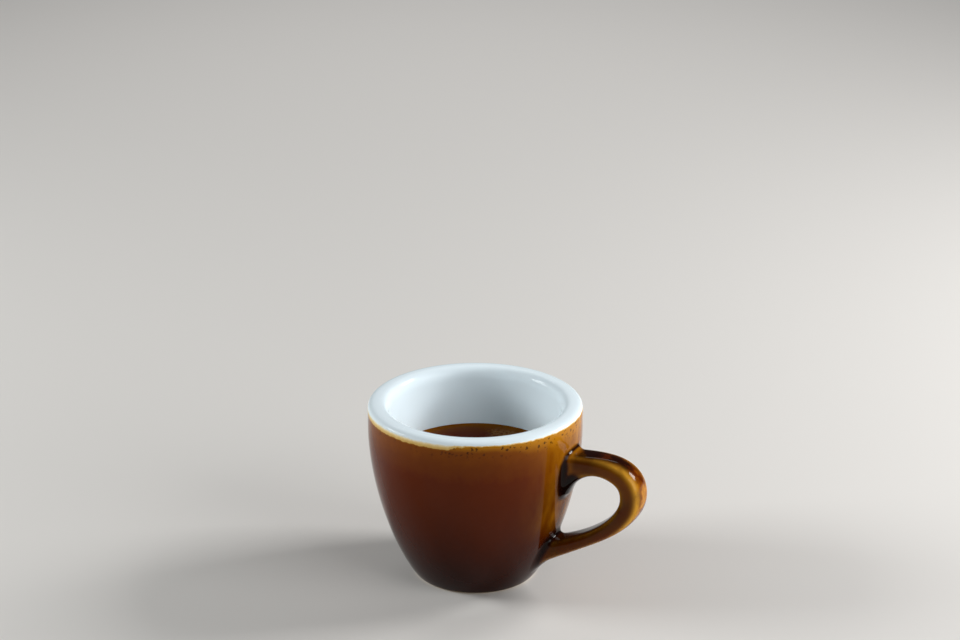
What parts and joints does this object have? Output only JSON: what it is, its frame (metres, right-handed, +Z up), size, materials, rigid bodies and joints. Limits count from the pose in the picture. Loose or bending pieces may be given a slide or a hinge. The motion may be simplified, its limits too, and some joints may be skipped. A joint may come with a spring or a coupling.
{
  "type": "espresso shot",
  "caption": "Espresso shot in a thick-walled stoneware cup with a looped handle, a broad domed lip and a foot ring; amber glaze outside, white inside.",
  "frame": {"origin": "on the standing plane, under the middle of the whole length from the cup's far side to the handle's outer bend", "axes": "+X from the bowl's axis towards the handle, +Z up through the cup's mouth"},
  "size_m": [0.0856, 0.063, 0.054],
  "materials": {
    "amber_glaze": "glossy amber-brown glaze outside, white glaze inside and over the lip",
    "coffee": "still dark coffee with a thin lighter edge"
  },
  "bodies": {
    "root": {"cup": "amber_glaze", "espresso": "coffee"}
  },
  "joints": []
}
